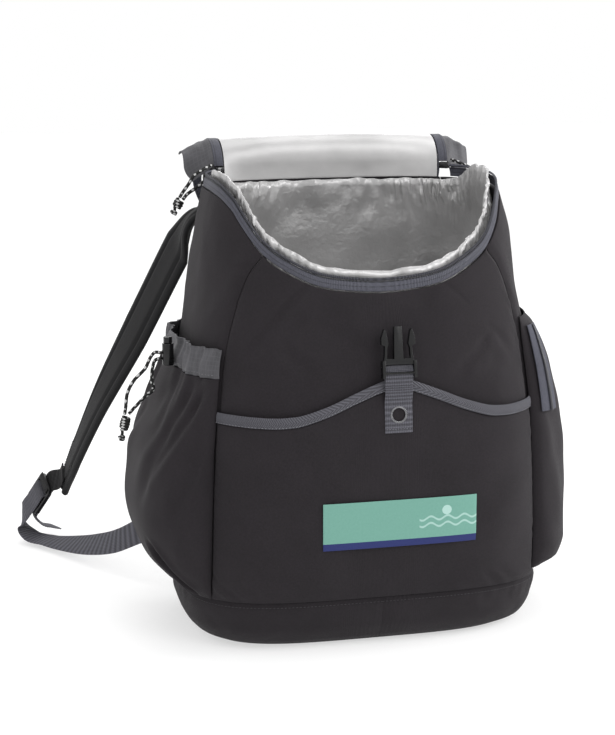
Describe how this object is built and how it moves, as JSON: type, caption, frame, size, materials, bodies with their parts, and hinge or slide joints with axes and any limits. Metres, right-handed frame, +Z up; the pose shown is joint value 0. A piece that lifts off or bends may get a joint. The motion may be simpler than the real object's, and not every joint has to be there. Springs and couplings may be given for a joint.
{
  "type": "cooler backpack",
  "caption": "Insulated cooler backpack with its lid thrown back, curved opening zip, front pocket with buckle tab, two bulging side pockets and padded shoulder straps.",
  "frame": {"origin": "middle of the base, on the surface that the bag stands on", "axes": "+Z up; the front pocket faces -Y and the shoulder straps are on the +Y side; +X is to the right seen from the front"},
  "size_m": [0.5978, 0.4346, 0.4464],
  "materials": {
    "shell": "matte woven polyester",
    "ripstop": "light ripstop nylon",
    "lining": "silver insulating film on cloth",
    "zip_tape": "knitted tape",
    "zip_coil": "nylon coil",
    "binding": "herringbone tape",
    "patch": "printed and sewn label",
    "webbing": "ribbed polyester webbing",
    "strap": "padded spacer cloth",
    "plastic": "moulded acetal, slightly glossy",
    "metal": "dark plated eyelet",
    "cord": "woven round cord with light flecks"
  },
  "bodies": {
    "root": {"front_panel": "shell", "side_panel_right": "shell", "side_panel_left": "shell", "back_panel": "shell", "base_boot": "shell", "lid_shell": "shell", "front_pocket": "shell", "side_pocket_left": "shell", "side_pocket_right": "shell", "lid_wing_left": "ripstop", "lid_wing_right": "ripstop", "pocket_casing_left": "ripstop", "lining": "lining", "lid_lining": "lining", "rim_zip_tape": "zip_tape", "lid_zip_tape": "zip_tape", "pocket_zip_tape": "zip_tape", "rim_zip_coil": "zip_coil", "pocket_zip_coil": "zip_coil", "pocket_binding": "binding", "emblem_patch": "patch", "webbing_tab": "webbing", "strap_link_left": "webbing", "strap_link_right": "webbing", "strap_webbing_left": "webbing", "strap_webbing_right": "webbing", "lid_webbing": "webbing", "strap_pad_left": "strap", "strap_pad_right": "strap", "buckle_plug": "plastic", "buckle_socket": "plastic", "ladder_lock_left": "plastic", "ladder_lock_right": "plastic", "zip_slider_left": "plastic", "zip_slider_right": "plastic", "cord_lock_barrel": "plastic", "cord_lock_button": "plastic", "eyelet": "metal", "pull_cord_upper_left": "cord", "pull_cord_upper_right": "cord", "pull_cord_lower_left": "cord", "pull_cord_lower_right": "cord", "pull_knot_left": "cord", "pull_knot_right": "cord", "drawcord_upper": "cord", "drawcord_lower": "cord", "drawcord_knot": "cord"}
  },
  "joints": []
}
